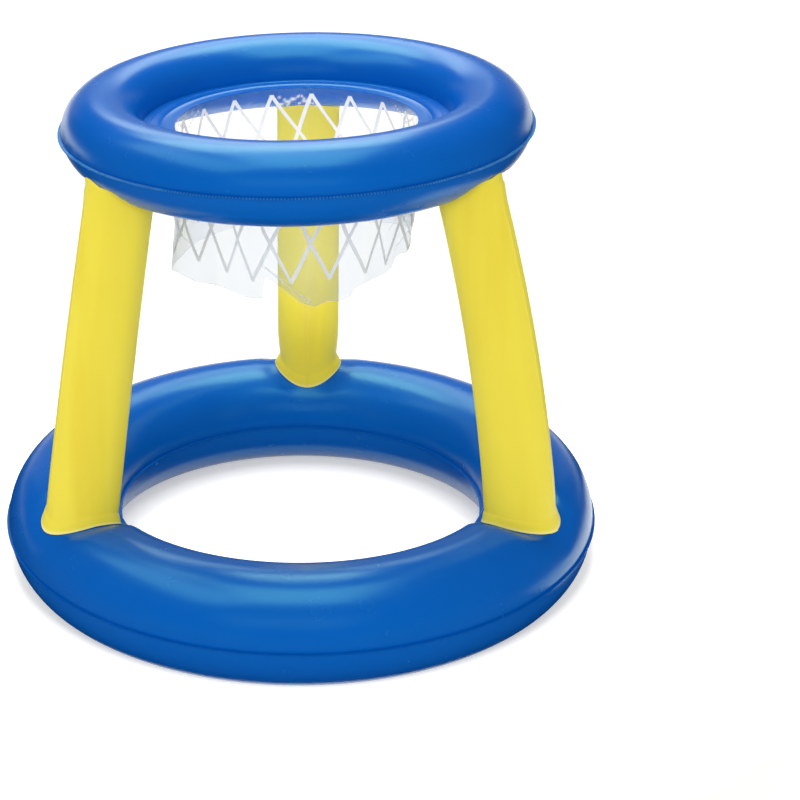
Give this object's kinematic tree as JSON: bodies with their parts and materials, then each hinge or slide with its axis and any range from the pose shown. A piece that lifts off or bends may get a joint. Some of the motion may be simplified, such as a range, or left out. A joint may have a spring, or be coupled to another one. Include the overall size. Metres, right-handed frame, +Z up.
{
  "type": "floating basketball hoop",
  "caption": "Inflatable floating pool basketball hoop: blue base ring, upright yellow legs, blue hoop ring with a clear film net, and push-in air valves.",
  "frame": {"origin": "on the floor under the centre of the base ring, at the middle of the bounding box's bottom face", "axes": "+Z up through the hoop, the front of the picture towards -Y, +X to the right seen from the front"},
  "size_m": [0.59, 0.59, 0.4943],
  "materials": {
    "blue_vinyl": "satin-gloss welded film, smooth, tight with air",
    "yellow_vinyl": "slightly see-through satin film",
    "clear_film": "clear glossy film with a white printed net pattern",
    "valve_vinyl": "soft moulded vinyl, satin"
  },
  "bodies": {
    "float": {"base_ring_upper_panel": "blue_vinyl", "base_ring_lower_panel": "blue_vinyl", "hoop_ring_upper_panel": "blue_vinyl", "hoop_ring_lower_panel": "blue_vinyl", "rear_leg_left_panel": "yellow_vinyl", "rear_leg_right_panel": "yellow_vinyl", "left_leg_front_panel": "yellow_vinyl", "left_leg_rear_panel": "yellow_vinyl", "right_leg_front_panel": "yellow_vinyl", "right_leg_rear_panel": "yellow_vinyl", "net": "clear_film", "base_valve_flange": "valve_vinyl", "base_valve_boot": "valve_vinyl", "hoop_valve_flange": "valve_vinyl", "hoop_valve_boot": "valve_vinyl"},
    "base_stem": {"base_valve_stem": "valve_vinyl", "base_valve_strap": "valve_vinyl"},
    "base_plug": {"base_valve_plug": "valve_vinyl"},
    "base_flap": {"base_valve_check_flap": "valve_vinyl"},
    "hoop_stem": {"hoop_valve_stem": "valve_vinyl", "hoop_valve_strap": "valve_vinyl"},
    "hoop_plug": {"hoop_valve_plug": "valve_vinyl"},
    "hoop_flap": {"hoop_valve_check_flap": "valve_vinyl"}
  },
  "joints": [
    {"name": "base_valve_pull_out", "type": "slide", "parent": "float", "child": "base_stem", "axis": [-0.3981, 0.7488, 0.5299], "range_m": [0, 0.012], "deforming": ["base_valve_boot"]},
    {"name": "base_plug_pull", "type": "slide", "parent": "base_stem", "child": "base_plug", "axis": [-0.3981, 0.7488, 0.5299], "range_m": [0, 0.009], "deforming": ["base_valve_strap"]},
    {"name": "base_flap_hinge", "type": "hinge", "parent": "base_stem", "child": "base_flap", "pos_m": [-0.12928, 0.24314, 0.07358], "axis": [0.8829, 0.4695, 0], "range_deg": [0, 60], "stiffness_Nm_per_rad": 0.00002},
    {"name": "hoop_valve_pull_out", "type": "slide", "parent": "float", "child": "hoop_stem", "axis": [0.3869, 0.7488, 0.5382], "range_m": [0, 0.012], "deforming": ["hoop_valve_boot"]},
    {"name": "hoop_plug_pull", "type": "slide", "parent": "hoop_stem", "child": "hoop_plug", "axis": [0.3869, 0.7488, 0.5382], "range_m": [0, 0.009], "deforming": ["hoop_valve_strap"]},
    {"name": "hoop_flap_hinge", "type": "hinge", "parent": "hoop_stem", "child": "hoop_flap", "pos_m": [0.09367, 0.1823, 0.46514], "axis": [0.8828, -0.4695, 0.0186], "range_deg": [0, 60], "stiffness_Nm_per_rad": 0.00002}
  ]
}
